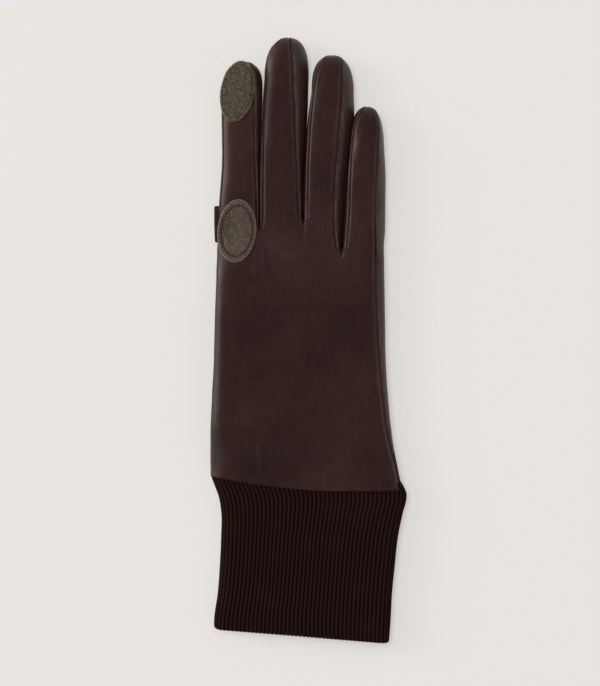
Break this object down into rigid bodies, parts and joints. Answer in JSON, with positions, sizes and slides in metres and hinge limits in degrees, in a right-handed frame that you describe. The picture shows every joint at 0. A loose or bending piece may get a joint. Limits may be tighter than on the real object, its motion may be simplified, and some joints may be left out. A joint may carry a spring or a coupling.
{
  "type": "leather glove",
  "caption": "Right-hand leather glove with a ribbed knit cuff and an index fingertip that folds back onto a hook patch to free the finger.",
  "frame": {"origin": "middle of the bounding box, on the surface that the glove lies on", "axes": "+X towards the little finger, +Y towards the fingertips, +Z out of the back of the hand"},
  "size_m": [0.0927, 0.2879, 0.0245],
  "materials": {
    "leather": "satin",
    "lining": "matte",
    "knit": "matte",
    "loop_tape": "matte",
    "hook_tape": "matte",
    "thread": "satin"
  },
  "bodies": {
    "hand": {"hand_back_panel": "leather", "hand_palm_panel": "leather", "hand_back_lining": "lining", "hand_palm_lining": "lining", "ring_web_fourchette": "leather", "index_base_back": "leather", "index_base_fourchette": "leather", "index_base_palm": "leather", "index_base_lining": "lining", "index_side_binding": "leather", "hook_patch": "hook_tape", "hook_patch_stitching": "thread", "rib_cuff": "knit", "wrist_seam_tape": "lining", "cuff_seam_thread": "thread", "outseam_thread": "thread", "thumb_seam_thread": "thread"},
    "index_middle": {"index_tongue": "leather", "index_outer_gusset": "leather", "index_inner_gusset": "leather"},
    "index_cap": {"index_cap_back": "leather", "index_cap_palm": "leather", "index_cap_outer_fourchette": "leather", "index_cap_inner_fourchette": "leather", "index_cap_lining": "lining", "index_seam_thread": "thread", "loop_patch": "loop_tape", "loop_patch_stitching": "thread"},
    "middle_finger": {"middle_back": "leather", "middle_palm": "leather", "middle_outer_fourchette": "leather", "middle_inner_fourchette": "leather", "middle_lining": "lining", "middle_seam_thread": "thread"},
    "ring_finger": {"ring_back": "leather", "ring_palm": "leather", "ring_outer_fourchette": "leather", "ring_inner_fourchette": "leather", "ring_lining": "lining", "ring_seam_thread": "thread"},
    "little_finger": {"little_back": "leather", "little_palm": "leather", "little_outer_fourchette": "leather", "little_inner_fourchette": "leather", "little_lining": "lining", "little_seam_thread": "thread"},
    "thumb": {"thumb_upper": "leather", "thumb_lower": "leather", "thumb_lining": "lining"}
  },
  "joints": [
    {"name": "index_bend", "type": "hinge", "parent": "hand", "child": "index_middle", "pos_m": [-0.0325, 0.067, 0.0014], "axis": [-1, 0, 0], "range_deg": [0, 60]},
    {"name": "index_tip_fold", "type": "hinge", "parent": "index_middle", "child": "index_cap", "pos_m": [-0.0318, 0.0847, 0.0172], "axis": [1, 0, 0], "range_deg": [0, 173]},
    {"name": "middle_bend", "type": "hinge", "parent": "hand", "child": "middle_finger", "pos_m": [-0.0128, 0.0575, 0], "axis": [-1, 0, 0], "range_deg": [0, 70]},
    {"name": "ring_bend", "type": "hinge", "parent": "hand", "child": "ring_finger", "pos_m": [0.0064, 0.0575, 0], "axis": [-1, 0, 0], "range_deg": [0, 70]},
    {"name": "little_bend", "type": "hinge", "parent": "hand", "child": "little_finger", "pos_m": [0.0261, 0.0418, 0], "axis": [-1, 0, 0], "range_deg": [0, 70]},
    {"name": "thumb_swing", "type": "hinge", "parent": "hand", "child": "thumb", "pos_m": [-0.027, -0.028, 0.0045], "axis": [0, 0, 1], "range_deg": [0, 55]}
  ]
}
